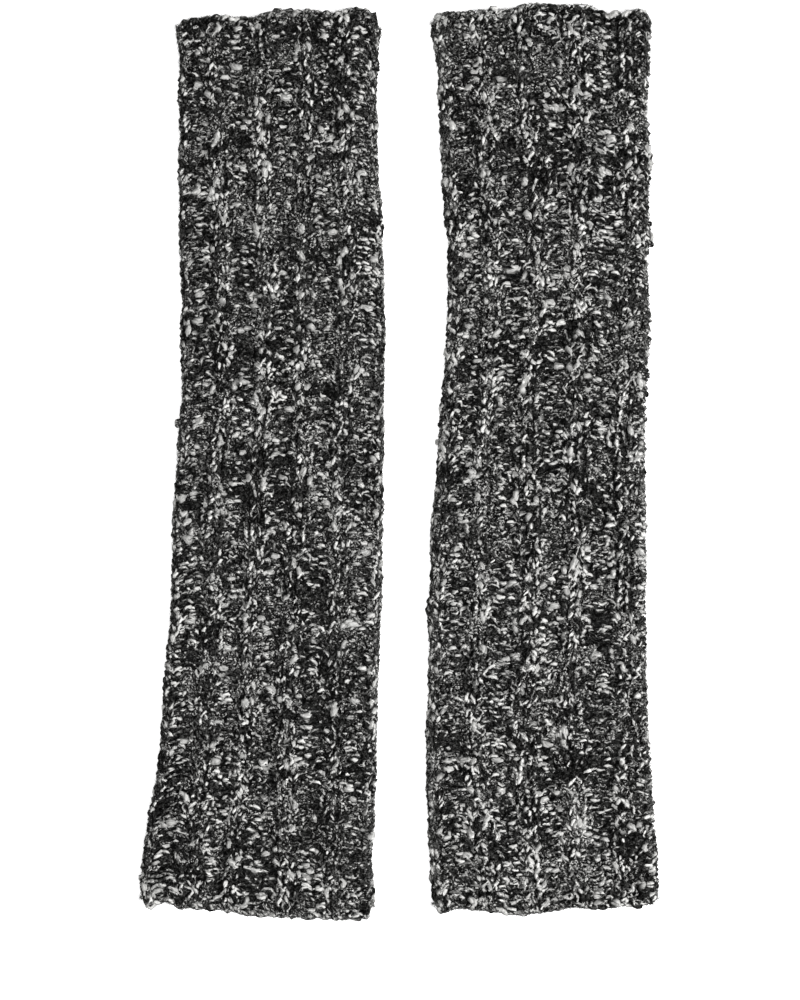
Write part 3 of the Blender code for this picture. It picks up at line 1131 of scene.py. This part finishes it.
class YarnMesh:
    """Turns centre lines of yarn into one joined mesh of fine tubes."""

    seam_turn = 0.1

    def __init__(self, name: str, sides: int) -> None:
        """Starts an empty mesh with that many sides round the yarn."""
        self.name = name
        self.sides = sides
        self.atlas = Atlas()

    def rings(self, centres: Array, normals: Array, radii: Array) -> Array:
        """Rings of points round the centre lines.

        Args:
            centres: Points of each line, lines first.
            normals: Outward direction of the cloth at each.
            radii: Radius of the yarn at each.

        Returns:
            Ring points, with the side as the last axis but one.
        """
        forward = np.gradient(centres, axis=1)
        forward /= np.linalg.norm(forward, axis=-1, keepdims=True)
        beside = np.cross(forward, normals)
        size = np.linalg.norm(beside, axis=-1, keepdims=True)
        beside /= np.maximum(size, 1e-6)
        up = np.cross(beside, forward)
        turns = (np.arange(self.sides) + 0.5) / self.sides * TAU
        ring = np.cos(turns)[:, None] * -up[:, :, None]
        ring = ring + np.sin(turns)[:, None] * beside[:, :, None]
        return centres[:, :, None] + ring * radii[:, :, None, None]

    def build(
        self, centres: Array, normals: Array, radii: Array, along: Array, marl: Array
    ) -> bpy.types.Object:
        """Makes the piece.

        Args:
            centres: Points of each line, lines first.
            normals: Outward direction of the cloth at each.
            radii: Radius of the yarn at each.
            along: Distance along the yarn at each.
            marl: Slub, black and mixed strengths at each, the black one with any painted shade of
                sunk yarn.

        Returns:
            The new object, linked to the scene.
        """
        lines, count = radii.shape
        sides = self.sides
        points = self.rings(centres, normals, radii)
        points[..., 2] = np.maximum(points[..., 2], LOWEST_YARN)
        index = np.arange(lines * count * sides).reshape(lines, count, sides)
        nearer = index[:, :-1]
        further = index[:, 1:]
        quads = np.stack(
            (nearer, np.roll(nearer, -1, 2), np.roll(further, -1, 2), further), axis=-1
        ).reshape(-1, 4)
        caps = np.concatenate((index[:, 0, :], index[:, -1, ::-1]))
        corners = np.concatenate((quads.ravel(), caps.ravel())).astype(np.int32)
        starts = np.concatenate(
            (np.arange(len(quads)) * 4, len(quads) * 4 + np.arange(len(caps)) * sides)
        )
        mesh = bpy.data.meshes.new(self.name)
        mesh.vertices.add(points.size // 3)
        mesh.vertices.foreach_set("co", (points * MM).astype(np.float32).ravel())
        mesh.loops.add(len(corners))
        mesh.loops.foreach_set("vertex_index", corners)
        mesh.polygons.add(len(starts))
        mesh.polygons.foreach_set("loop_start", starts.astype(np.int32))
        mesh.update(calc_edges=True)
        mesh.polygons.foreach_set("use_smooth", np.ones(len(starts), bool))
        self.add_maps(mesh, lines, count, along, len(caps))
        add_marl(mesh, np.repeat(marl[:, :, None, :], sides, axis=2))
        mesh.validate()
        return link_object(self.name, mesh)

    def add_maps(self, mesh: Any, lines: int, count: int, along: Array, caps: int) -> None:
        """Adds the map along the yarn and the one that lays every line out beside the others.

        Args:
            mesh: The mesh to add to.
            lines: Number of centre lines.
            count: Points in each.
            along: Distance along the yarn at each.
            caps: Number of end faces.
        """
        sides = self.sides
        low = np.broadcast_to(along[:, :-1, None], (lines, count - 1, sides))
        high = np.broadcast_to(along[:, 1:, None], (lines, count - 1, sides))
        start = np.broadcast_to(np.arange(sides) / sides, low.shape)
        turned = 0.5 / sides - self.seam_turn
        end = start + 1.0 / sides
        u = np.stack((low, low, high, high), axis=-1)
        v = np.stack((start, end, end, start), axis=-1)
        cap_along = np.repeat(np.concatenate((along[:, 0], along[:, -1])), sides)
        cap_around = np.tile(np.arange(sides) / sides, caps)
        yarn = mesh.uv_layers.new(name="yarn")
        self.fill(yarn, u, v + turned, cap_along, cap_around + turned)
        atlas = self.atlas
        rows = math.ceil(lines / atlas.columns)
        cell = np.arange(lines)
        cell_u = (cell % atlas.columns) / atlas.columns
        cell_v = (cell // atlas.columns) / rows
        share = (along - along[:, :1]) / (along[:, -1:] - along[:, :1])
        atlas_u = cell_u[:, None] + (atlas.start + atlas.run * share) / atlas.columns
        near_u = np.broadcast_to(atlas_u[:, :-1, None], low.shape)
        far_u = np.broadcast_to(atlas_u[:, 1:, None], low.shape)
        atlas_v = cell_v[:, None, None, None] + (atlas.floor + atlas.height * v) / rows
        cap_u = np.concatenate(
            (cell_u + atlas.first_cap / atlas.columns, cell_u + atlas.last_cap / atlas.columns)
        )
        ring = (np.arange(sides) + 0.5) / sides * TAU
        size = atlas.cap_width / atlas.columns
        flat_u = cap_u[:, None] + size * (1.0 + np.cos(ring))
        flat_v = np.tile(cell_v, 2)[:, None] + (0.5 + atlas.cap_height * np.sin(ring)) / rows
        bake = mesh.uv_layers.new(name="OFBake")
        self.fill(bake, np.stack((near_u, near_u, far_u, far_u), axis=-1), atlas_v, flat_u, flat_v)

    @staticmethod
    def fill(layer: Any, u: Array, v: Array, cap_u: Array, cap_v: Array) -> None:
        """Writes one map.

        Args:
            layer: The map.
            u: First coordinate of each side face's corners.
            v: Second coordinate of the same.
            cap_u: First coordinate of each end face's corners.
            cap_v: Second coordinate of the same.
        """
        first = np.concatenate((u.ravel(), cap_u.ravel()))
        second = np.concatenate((v.ravel(), cap_v.ravel()))
        write_map(layer, first, second)


@dataclass
class Stitches:
    """Where the yarn of every stitch of one warmer runs.

    A name with scatter in it is the spread of a random draw. Where two names end in level and
    fold, the first holds on level cloth and the second is what a fold adds.
    """

    form: TubeForm
    seed: int
    yarn_per_stitch: float = 15.0
    radius: float = 0.98
    leg_lean: float = 0.25
    reach: float = 0.95
    crossing: float = 0.72
    sink: float = 1.42
    head_scatter: float = 0.24
    side_scatter: float = 0.15
    wale_shift: float = 0.34
    # Painted shade: how far the black strength rises on sunk yarn, which darkens it in colour.
    sunk_painted_shade: float = 0.85
    fold_swell: float = 0.8
    rim_margin: float = 0.0052
    rib_sharpness: float = 2.2
    purl_lean: float = 0.8
    purl_reach: float = 0.88
    side_drift: float = 0.36
    up_drift: float = 0.22
    black_drift: float = 0.08
    mixed_drift: float = 0.18
    slub_swell: float = 0.50
    crest_swell: float = 0.24
    fold_plump: float = 0.12
    knit_loose: float = 0.9
    purl_loose: float = 1.15
    out_scatter: float = 0.14
    tilt_scatter: float = 0.20
    lean_scatter: float = 0.35
    size_scatter: float = 0.17
    size_range: tuple[float, float] = (0.62, 1.45)
    sinker_rise: float = 0.7
    sinker_sway: float = 0.6
    mixed_less: float = 0.05
    # How the painted shade of sunk yarn grows with depth, and the most of it that knit wales get.
    knit_hidden: float = 0.75
    shade_gain: float = 1.35
    shade_power: float = 1.4
    black_and_shade_range: tuple[float, float] = (-0.5, 1.4)
    even_sunk: float = 0.6
    purl_cross: float = 1.3
    purl_cross_loss: float = 0.7
    out_level: float = 0.5
    out_fold: float = 1.3
    heave_level: float = 0.16
    heave_fold: float = 0.20
    lot: YarnLot = field(init=False)

    def __post_init__(self) -> None:
        """Draws what makes each stitch its own."""
        rng = np.random.default_rng(self.seed)
        shape = (COURSES, WALES_ROUND + 1)
        purl = np.isin(np.arange(WALES_ROUND + 1) % WALES_PER_RIB, (1, 2))
        loose = np.where(purl, self.purl_loose, self.knit_loose)
        self.head_up = rng.normal(0.0, self.head_scatter, shape) * loose
        self.head_side = rng.normal(0.0, self.side_scatter, shape) * loose
        self.head_out = rng.normal(0.0, self.out_scatter, shape)
        self.tilt = rng.normal(0.0, self.tilt_scatter, shape)
        self.spread = rng.normal(1.0, self.lean_scatter, shape)
        self.sinker_up = rng.normal(0.0, self.sinker_rise * self.head_scatter, shape)
        self.sinker_side = rng.normal(0.0, self.sinker_sway * self.side_scatter, shape)
        self.size = np.clip(rng.normal(1.0, self.size_scatter, shape), *self.size_range)
        self.drift_up = SoftField(34, 20, rng)
        self.drift_side = SoftField(48, 24, rng)
        self.drift_out = SoftField(40, 24, rng)
        self.shift = SoftField(18, WALES_ROUND, rng)
        self.patch_black = SoftField(30, 14, rng)
        self.patch_mixed = SoftField(26, 12, rng)
        length = (COURSES + 1) * WALES_ROUND * self.yarn_per_stitch
        self.lot = YarnLot(length, rng)

    def strip(
        self, rib: int, fineness: Fineness
    ) -> tuple[Array, Array, Array, Array, Array]:
        """Centre lines of all courses between the middles of two ribs.

        Args:
            rib: Number of the rib at which the strip starts.
            fineness: How many points each stitch gets.

        Returns:
            Points, normals, radii, distances along the yarn, and marl strengths, whose black one
            holds painted shade where the yarn sinks.
        """
        wales = []
        turns = []
        for step in range(WALES_PER_RIB):
            wale = rib * WALES_PER_RIB + step
            shares = fineness.knit_turns if step in (0, 3) else fineness.purl_turns
            wales.extend([wale] * len(shares))
            turns.extend(shares)
        wales.append(rib * WALES_PER_RIB + WALES_PER_RIB - 1)
        turns.append(1.0)
        wale = np.array(wales)[None, :]
        turn = np.tile(turns, (COURSES, 1))
        course = np.arange(COURSES)[:, None]
        angle = turn * TAU
        lift = np.sin(angle / 2.0) ** 2
        up = self.strayed(self.head_up, self.sinker_up, course, wale, turn)
        side = self.strayed(self.head_side, self.sinker_side, course, wale, turn)
        across = wale + turn
        around = across / WALES_ROUND
        upward = (course + 0.5) / COURSES
        side = side + self.side_drift * self.drift_side.read(upward, around)
        up = up + self.up_drift * self.drift_up.read(upward, around)
        up = up + self.wale_shift * self.shift.read(upward, around)
        facing = np.clip(self.rib_sharpness * np.cos(math.pi * across / 2.0), -1.0, 1.0)
        up = up + self.tilt[course, wale] * np.sin(angle)
        knit = facing > 0.0
        lean = self.leg_lean * np.where(knit, 1.0, self.purl_lean) * self.spread[course, wale]
        reach = self.reach * np.where(knit, 1.0, self.purl_reach)
        w = across + lean * np.sin(2.0 * angle) + side
        v = course + 0.5 - reach * np.cos(angle) + up
        station = (v / COURSES) * (1.0 - 2.0 * self.rim_margin) + self.rim_margin
        point, normal = self.form.look_up(station, w / WALES_PER_RIB)
        along = (course * WALES_ROUND + across) * self.yarn_per_stitch
        marl = self.lot.read(along)
        black_patch = self.patch_black.read(upward, around)
        mixed_patch = self.patch_mixed.read(upward, around)
        # Painted shade: where the yarn sinks under its neighbours its black strength rises, so the
        # sunk part of each loop is darkened in its colour. Knit wales get less of it than purl
        # ones.
        sunk = 0.5 + 0.5 * facing * np.cos(2.0 * angle)
        shade_cap = np.where(knit, self.knit_hidden, 1.0)
        shade_amount = np.clip(self.shade_gain * sunk, 0.0, 1.0) ** self.shade_power
        shade_amount = shade_amount * shade_cap * fineness.shade_share
        # black sums the yarn's black runs and patches, the painted shade of sunk yarn, and the
        # listed tints.
        black = marl[..., 1] + self.black_drift * black_patch + self.sunk_painted_shade * shade_amount
        black = black + self.tinted(point, normal)
        marl[..., 1] = np.clip(black, *self.black_and_shade_range)
        mixed = marl[..., 2] + self.mixed_drift * mixed_patch - self.mixed_less
        marl[..., 2] = np.clip(mixed, 0.0, 1.0)
        size = self.size[course, wale]
        plump = 1.0 + self.slub_swell * marl[..., 0] + self.crest_swell * (self.even_sunk - sunk)
        fold = foldedness(normal)[..., 0]
        radii = self.radius * fineness.fullness * size * plump * (1.0 + self.fold_plump * fold)
        purl_cross = self.purl_cross - self.purl_cross_loss * fold
        crossing = self.crossing * np.where(knit, 1.0, purl_cross)
        depth = self.sink + facing * crossing * np.cos(2.0 * angle)
        depth = depth - (self.out_level + self.out_fold * fold) * self.head_out[course, wale] * lift
        heave = self.heave_level + self.heave_fold * fold
        depth = depth - heave * self.drift_out.read(upward, around)
        depth = depth - self.fold_swell * fold
        centre = point - normal * depth[..., None]
        return centre, normal, radii, along, marl

    @staticmethod
    def strayed(head: Array, sinker: Array, course: Array, wale: Array, turn: Array) -> Array:
        """How far the yarn strays from an even stitch, from one sinker over the head to the next.

        Args:
            head: How far the head of each stitch strays.
            sinker: How far the yarn between two stitches strays.
            course: Course of each point.
            wale: Wale of each point.
            turn: How far through its stitch each point is, from 0 to 1.

        Returns:
            The distance for each point.
        """
        lift = np.sin(turn * TAU / 2.0) ** 2
        before = np.where(turn <= 0.5, 1.0 - lift, 0.0)
        after = np.where(turn > 0.5, 1.0 - lift, 0.0)
        moved = lift * head[course, wale]
        moved += before * sinker[course, wale % WALES_ROUND]
        moved += after * sinker[course, (wale + 1) % WALES_ROUND]
        return moved

    def tinted(self, point: Array, normal: Array) -> Array:
        """How much more black wool shows at a place, by the listed patches.

        Args:
            point: Places on the cloth.
            normal: Their normals, which tell the upper side from the other.

        Returns:
            Amounts of black, below zero where more light wool shows.
        """
        amount = np.zeros(point.shape[:-1])
        along = point[..., 1] * np.where(normal[..., 2] > -0.3, 1.0, -1.0)
        for tint in self.form.cut.tints:
            across = (point[..., 0] - tint.x) / tint.width
            beyond = (along - tint.y) / tint.length
            amount += tint.amount * np.exp(-(across**2) - beyond**2)
        return amount


# ---------------------------------------------------------------------------------------------
# The warmers
# ---------------------------------------------------------------------------------------------


@dataclass
class Fuzz:
    """Short stray fibres, thickest along the folds and the open edges.

    One random number from 0 to 1 sorts them. Fibres up to far_rim stand on the far rim, then up
    to both_rims on the near rim, then up to folds along the folds, and the rest on flat cloth.
    """

    form: TubeForm
    seed: int
    count: int = 13000
    shortest: float = 1.0
    longest: float = 2.8
    thickness: float = 0.10
    far_rim: float = 0.15
    both_rims: float = 0.30
    folds: float = 0.96
    root_depth: float = 0.9
    fold_root: float = 1.05
    edge_root: float = 0.4
    fold_scatter: float = 0.08
    bend: float = 0.6
    rise: tuple[float, float] = (0.15, 0.9)
    edge_rise: float = 0.25
    size_range: tuple[float, float] = (0.7, 1.3)
    palest: float = 0.5
    atlas_columns: int = 64

    def lines(self) -> tuple[Array, Array]:
        """Draws the fibres.

        Returns:
            Where each is rooted, and how it runs from there to its tip.
        """
        rng = np.random.default_rng(self.seed + 400)
        kind = rng.uniform(0.0, 1.0, self.count)
        station = rng.uniform(0.0, 1.0, self.count)
        phase = rng.uniform(0.0, RIBS_ROUND, self.count)
        edge = kind < self.both_rims
        station = np.where(edge, (kind < self.far_rim) * 1.0, station)
        spread = rng.normal(0.0, self.fold_scatter, self.count)
        on_left = rng.uniform(0.0, 1.0, self.count) < 0.5
        at_fold = np.where(on_left, spread, self.form.cut.right_fold + spread)
        folded = (kind > self.both_rims) & (kind < self.folds)
        phase = np.where(folded, np.mod(at_fold, RIBS_ROUND), phase)
        point, normal = self.form.look_up(station, phase)
        fold = foldedness(normal)
        lengthwise = np.zeros_like(normal)
        lengthwise[:, 1] = np.where(edge, np.where(station > 0.5, 1.0, -1.0), 0.0)
        calmer = np.where(edge | folded, 0.5, 1.0)[:, None]
        scatter = rng.normal(0.0, self.bend, normal.shape) * calmer
        rising = rng.uniform(*self.rise, self.count)
        outward = np.where(edge, self.edge_rise, np.where(folded, rising, 1.0))
        swayed = np.where(rng.uniform(0.0, 1.0, self.count) < 0.5, 1.0, -1.0)
        sway = np.zeros_like(normal)
        sway[:, 0] = np.where(edge, swayed * (1.0 - 0.9 * fold[:, 0]), 0.0)
        sway[:, 1] = np.where(folded, swayed, 0.0)
        beyond = lengthwise * rising[:, None]
        heading = normal * outward[:, None] + beyond + sway + scatter
        heading /= np.linalg.norm(heading, axis=-1, keepdims=True)
        length = rng.uniform(self.shortest, self.longest, self.count)[:, None]
        root = point - normal * (self.root_depth - self.fold_root * fold)
        root = root - lengthwise * self.edge_root
        return root, heading * length

    def build(self, name: str) -> bpy.types.Object:
        """Makes the piece, in which every fibre is a needle with a closed root.

        Args:
            name: Name of the piece.

        Returns:
            The new object, linked to the scene.
        """
        root, run = self.lines()
        rng = np.random.default_rng(self.seed + 500)
        beside = np.cross(run, np.array([0.3, 0.5, 0.8]))
        beside /= np.linalg.norm(beside, axis=-1, keepdims=True)
        above = np.cross(beside, run)
        above /= np.linalg.norm(above, axis=-1, keepdims=True)
        turns = np.arange(3) / 3.0 * TAU
        ring = np.cos(turns)[:, None] * beside[:, None] + np.sin(turns)[:, None] * above[:, None]
        radius = self.thickness * rng.uniform(*self.size_range, (self.count, 1, 1))
        points = np.concatenate((root[:, None] + ring * radius, (root + run)[:, None]), axis=1)
        points[..., 2] = np.maximum(points[..., 2], LOWEST_YARN)
        faces = np.array([(0, 1, 3), (1, 2, 3), (2, 0, 3), (2, 1, 0)])
        corners = (np.arange(self.count) * 4)[:, None, None] + faces
        mesh = bpy.data.meshes.new(name)
        mesh.from_pydata((points.reshape(-1, 3) * MM).tolist(), [], corners.reshape(-1, 3).tolist())
        slot = np.arange(4)[None, :, None]
        tip = np.array([0.0, 0.0, 1.0])[None, None, :]
        side = np.array([0.1, 0.9, 0.5])[None, None, :]
        cell = np.arange(self.count)[:, None, None]
        rows = math.ceil(self.count / self.atlas_columns)
        bake = mesh.uv_layers.new(name="OFBake")
        atlas_u = (cell % self.atlas_columns + 0.05 + 0.9 * tip) / self.atlas_columns
        atlas_v = (cell // self.atlas_columns + (slot + side) / 4.0) / rows
        write_map(bake, np.broadcast_to(atlas_u, atlas_v.shape), atlas_v)
        marl = np.zeros((self.count, 4, 3))
        marl[..., 0] = rng.uniform(0.0, self.palest, (self.count, 1))
        add_marl(mesh, marl)
        return link_object(name, mesh)


@dataclass(frozen=True)
class Rim:
    """How the yarn is wound round an open edge.

    The station is 1 at the far end, where outward is 1, and 0 at the near one, where it is -1.
    """

    kind: str
    station: float
    outward: float
    strands: int
    throw: float
    radius: float
    seed_offset: int
    depth: float = 1.75
    set_back: float = 1.35
    yarn_per_wale: float = 8.5
    turn_steps: int = 8
    jitter: float = 0.5
    swell: tuple[float, float] = (0.75, 1.35)
    slub_swell: float = 0.15
    strand_apart: float = 900.0
    seed_apart: float = 37.0


BIND_OFF = Rim("bind_off", 1.0, 1.0, strands=1, throw=0.95, radius=1.15, seed_offset=17)
CAST_ON = Rim("cast_on", 0.0, -1.0, strands=2, throw=0.65, radius=0.98, seed_offset=10)


@dataclass
class ArmWarmer:
    """One arm warmer: the ground of its tube, ten strips of stitches and two edges."""

    cut: Cut
    yarn: bpy.types.Material
    ground: bpy.types.Material
    stray: bpy.types.Material
    ground_sink: float = 1.9
    ground_wall: float = 0.9
    ground_columns: int = 90
    ground_rows: int = 40
    hollow: float = 0.9
    hollow_drop: float = 0.35
    rim_inset: float = 2.2
    nub_swing: float = 0.56
    nub_yarn: float = 0.42
    nub_steps: int = 34
    nub_flatness: float = 0.8
    nub_height: float = 0.55
    nub_yarn_step: float = 1.4
    nub_yarn_start: float = 500.0
    fold_lift: float = 1.5
    form: TubeForm = field(init=False)
    stitches: Stitches = field(init=False)
    pieces: list[bpy.types.Object] = field(default_factory=list)

    def __post_init__(self) -> None:
        """Lays out the form and the stitches."""
        self.form = TubeForm(self.cut)
        self.stitches = Stitches(self.form, self.cut.seed)

    def build(self) -> None:
        """Builds and dresses every piece."""
        ground = self.build_ground()
        turned_rib = MIDDLING if self.cut.rib_on_right_fold else COARSE
        plan = [FINE] * 5 + [turned_rib] + [COARSE] * 3 + [MIDDLING]
        for rib, fineness in enumerate(plan):
            self.build_strip(rib, fineness)
        for rim in (BIND_OFF, CAST_ON):
            self.build_edge(rim)
        self.build_nubs()
        self.build_fuzz()
        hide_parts(self.cut.node)

    def dress(self, piece: bpy.types.Object, finish: bpy.types.Material) -> None:
        """Gives a piece its finish and its body, and reports it.

        Args:
            piece: The new piece.
            finish: Its material.
        """
        piece.data.materials.append(finish)
        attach(piece, "root")
        LOG.info("%s: %d faces", piece.name, len(piece.data.polygons))

    def add(self, piece: bpy.types.Object, finish: bpy.types.Material) -> None:
        """Dresses a piece and lists it with those that lie on the ground.

        Args:
            piece: The new piece.
            finish: Its material.
        """
        self.dress(piece, finish)
        self.pieces.append(piece)

    def build_strip(self, rib: int, fineness: Fineness) -> None:
        """Knits the strip between two ribs.

        Args:
            rib: Number of the rib at which the strip starts.
            fineness: How finely it is made.
        """
        name = f"{self.cut.name}_rib_strip_{rib + 1}"
        piece = YarnMesh(name, fineness.sides).build(*self.stitches.strip(rib, fineness))
        self.add(piece, self.yarn)

    def build_edge(self, rim: Rim) -> None:
        """Winds the yarn of an open edge round its rim.

        Args:
            rim: How it is wound.
        """
        rng = np.random.default_rng(self.cut.seed + rim.seed_offset)
        turn = np.arange(WALES_ROUND * rim.turn_steps + 1) / rim.turn_steps
        at_wale = np.arange(WALES_ROUND + 1)
        point, normal = self.form.look_up(np.full_like(turn, rim.station), turn / WALES_PER_RIB)
        lines = []
        swells = []
        for strand in range(rim.strands):
            angle = TAU * (turn + strand / rim.strands)
            jitter = np.interp(turn, at_wale, rng.normal(0.0, rim.jitter, WALES_ROUND + 1))
            swells.append(np.interp(turn, at_wale, rng.uniform(*rim.swell, WALES_ROUND + 1)))
            centre = point - normal * (rim.depth - rim.throw * np.cos(angle))[:, None]
            centre[:, 1] += rim.outward * (-rim.set_back + rim.throw * np.sin(angle) + jitter)
            lines.append(centre)
        centre = np.stack(lines)
        normal = np.broadcast_to(normal, centre.shape).copy()
        wound = turn * rim.yarn_per_wale
        apart = rim.seed_apart * self.cut.seed
        along = np.stack([wound + rim.strand_apart * k + apart for k in range(rim.strands)])
        marl = self.stitches.lot.read(along)
        radii = rim.radius * np.stack(swells) * (1.0 + rim.slub_swell * marl[..., 0])
        name = f"{self.cut.name}_{rim.kind}_edge"
        self.add(YarnMesh(name, FINE.sides).build(centre, normal, radii, along, marl), self.yarn)

    def build_nubs(self) -> None:
        """Winds the small knots of wool on the folds."""
        rng = np.random.default_rng(self.cut.seed + 90)
        turn = np.linspace(0.0, 1.0, self.nub_steps)
        height = self.nub_height * self.form.thickness
        lines = []
        for nub in self.cut.nubs:
            tilt = rng.uniform(0.0, TAU, 3)
            swing = self.nub_swing * nub.radius
            wound = np.stack(
                (
                    np.sin(TAU * 2.0 * turn + tilt[0]),
                    np.sin(TAU * 3.0 * turn + tilt[1]),
                    np.sin(TAU * 2.0 * turn + tilt[2]) * self.nub_flatness,
                ),
                axis=-1,
            )
            outward = 1.0 if nub.fold == 1.0 else -1.0
            column = "right" if nub.fold == 1.0 else "left"
            fold = smooth_table(self.cut.outline, column, np.array([nub.along]))[0]
            middle = np.array([fold + outward * nub.out, nub.along, height])
            lines.append(middle + wound * swing)
        centre = np.stack(lines)
        normal = np.zeros_like(centre)
        normal[..., 2] = 1.0
        steps = np.full(centre.shape[:2], self.nub_yarn_step)
        along = np.cumsum(steps, axis=1) + self.nub_yarn_start
        marl = np.zeros(centre.shape)
        pale = np.array([nub.pale for nub in self.cut.nubs])[:, None]
        marl[..., 0] = np.where(pale > 0.5, pale, 0.0)
        marl[..., 1] = np.where(pale > 0.5, 0.0, 0.7 - pale)
        marl[..., 2] = np.where((pale > 0.3) & (pale < 0.5), 0.8, 0.0)
        radii = self.nub_yarn * np.array([nub.radius for nub in self.cut.nubs])[:, None]
        radii = radii * np.ones(self.nub_steps)
        name = f"{self.cut.name}_wool_nubs"
        self.add(YarnMesh(name, FINE.sides).build(centre, normal, radii, along, marl), self.yarn)

    def build_fuzz(self) -> None:
        """Adds the stray fibres."""
        piece = Fuzz(self.form, self.cut.seed).build(f"{self.cut.name}_stray_fibres")
        self.add(piece, self.stray)

    def build_ground(self) -> bpy.types.Object:
        """Makes the closed wall of cloth that lies behind the loops.

        Returns:
            The new piece.
        """
        columns = self.ground_columns
        inset = self.rim_inset / WARMER_LENGTH
        stations = np.linspace(inset, 1.0 - inset, self.ground_rows)
        phases = np.linspace(0.0, RIBS_ROUND, columns, endpoint=False)
        station, phase = np.meshgrid(stations, phases, indexing="ij")
        point, normal = self.form.look_up(station, phase)
        sink = self.ground_sink - self.fold_lift * foldedness(normal)
        outer = point - normal * sink
        middle = 0.5 * self.form.thickness - self.hollow_drop
        inner = point - normal * (sink + self.ground_wall)
        gap = 0.5 * self.hollow
        inner[..., 2] = np.where(
            point[..., 2] > middle,
            np.maximum(inner[..., 2], middle + gap),
            np.minimum(inner[..., 2], middle - gap),
        )
        grid = np.concatenate((outer, inner[::-1]), axis=0)
        total = grid.shape[0]
        index = np.arange(total * columns).reshape(total, columns)
        following = np.roll(index, -1, axis=1)
        ahead = np.roll(index, -1, axis=0)
        ahead_following = np.roll(following, -1, axis=0)
        quads = np.stack((index, following, ahead_following, ahead), axis=-1).reshape(-1, 4)
        mesh = bpy.data.meshes.new(f"{self.cut.name}_ground")
        mesh.from_pydata((grid.reshape(-1, 3) * MM).tolist(), [], quads.tolist())
        mesh.polygons.foreach_set("use_smooth", np.ones(len(quads), bool))
        mesh.update()
        piece = link_object(mesh.name, mesh)
        self.dress(piece, self.ground)
        return piece


# ---------------------------------------------------------------------------------------------
# Studio
# ---------------------------------------------------------------------------------------------


@dataclass(frozen=True)
class SoftLight:
    """One large soft light, in metres and watts."""

    name: str
    place: tuple[float, float, float]
    size: float
    power: float

    def build(self) -> None:
        """Adds the light, turned towards the middle of the pair."""
        data = bpy.data.lights.new(self.name, "AREA")
        data.shape = "SQUARE"
        data.size = self.size
        data.energy = self.power
        lamp = link_object(self.name, data)
        lamp.location = self.place
        aim = -Vector(self.place)
        lamp.rotation_euler = aim.to_track_quat("-Z", "Y").to_euler()


@dataclass(frozen=True)
class Studio:
    """Floor, lights and camera."""

    floor_size: float = 80.0
    camera_height: float = 1.1886
    camera_along: float = -0.019
    lens: float = 85.0
    sky: float = 0.38
    lights: tuple[SoftLight, ...] = (
        SoftLight("key_light", (1.15, -0.50, 1.35), 0.7, 46.0),
        SoftLight("fill_light", (-0.9, 0.6, 1.5), 1.4, 8.0),
    )

    def build(self) -> None:
        """Sets the studio up."""
        half = 0.5 * self.floor_size
        mesh = bpy.data.meshes.new("studio_floor")
        corners = [(-half, -half, 0.0), (half, -half, 0.0), (half, half, 0.0), (-half, half, 0.0)]
        mesh.from_pydata(corners, [], [(0, 1, 2, 3)])
        mesh.materials.append(PaleFloor().build())
        link_object("studio_floor", mesh)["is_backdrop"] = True
        for light in self.lights:
            light.build()
        world = bpy.data.worlds.new("studio_air")
        world.use_nodes = True
        air = world.node_tree.nodes["Background"].inputs
        air["Color"].default_value = (1.0, 1.0, 1.0, 1.0)
        air["Strength"].default_value = self.sky
        bpy.context.scene.world = world
        data = bpy.data.cameras.new("camera")
        data.lens = self.lens
        data.sensor_width = 36.0
        data.clip_start = 0.01
        camera = link_object("camera", data)
        camera.location = (0.0, self.camera_along, self.camera_height)
        bpy.context.scene.camera = camera
        bpy.context.scene.view_settings.view_transform = "Standard"


def main() -> None:
    """Builds the pair and its studio."""
    logging.basicConfig(level=logging.INFO, format="%(message)s")
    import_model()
    Studio().build()
    yarn = MarlYarn().build()
    ground = GroundWool().build()
    stray = StrayWool().build()
    for cut in (LEFT_CUT, RIGHT_CUT):
        ArmWarmer(cut, yarn, ground, stray).build()
    meshes = [p.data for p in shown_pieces() if p.type == "MESH"]
    triangles = sum(len(mesh.loops) - 2 * len(mesh.polygons) for mesh in meshes)
    LOG.info("%d triangles in all", triangles)


if __name__ == "__main__":
    main()
